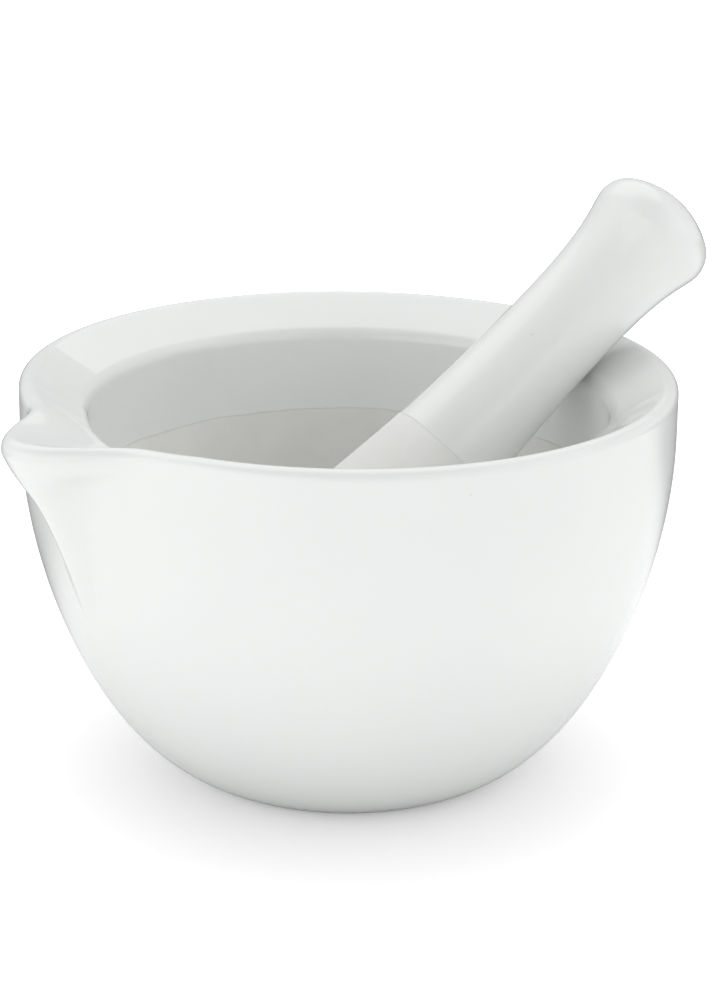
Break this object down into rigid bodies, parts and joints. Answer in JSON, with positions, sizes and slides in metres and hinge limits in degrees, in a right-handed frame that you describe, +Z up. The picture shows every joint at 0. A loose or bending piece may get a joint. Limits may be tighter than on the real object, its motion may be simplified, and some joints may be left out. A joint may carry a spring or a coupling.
{
  "type": "mortar and pestle",
  "caption": "White glazed porcelain mortar with a broad sloping rim and a pouring lip, with a solid porcelain pestle leaning in it.",
  "frame": {"origin": "centre of the mortar's flat foot, on the surface it stands on", "axes": "+Z up along the axis of the bowl, -X towards the tip of the pouring lip, +Y completes a right-handed frame"},
  "size_m": [0.155, 0.13, 0.1144],
  "materials": {
    "mortar_porcelain": "clear gloss glaze over white hard porcelain; the lower bowl, where things are ground, and the foot are left unglazed",
    "pestle_porcelain": "clear gloss glaze over white hard porcelain; the grinding head is left unglazed"
  },
  "bodies": {
    "mortar": {"mortar": "mortar_porcelain"},
    "pestle": {"pestle": "pestle_porcelain"}
  },
  "joints": [
    {"name": "pestle_sweep", "type": "hinge", "parent": "mortar", "child": "pestle", "pos_m": [0, 0, 0.07], "axis": [0, 0, 1], "continuous": true}
  ]
}
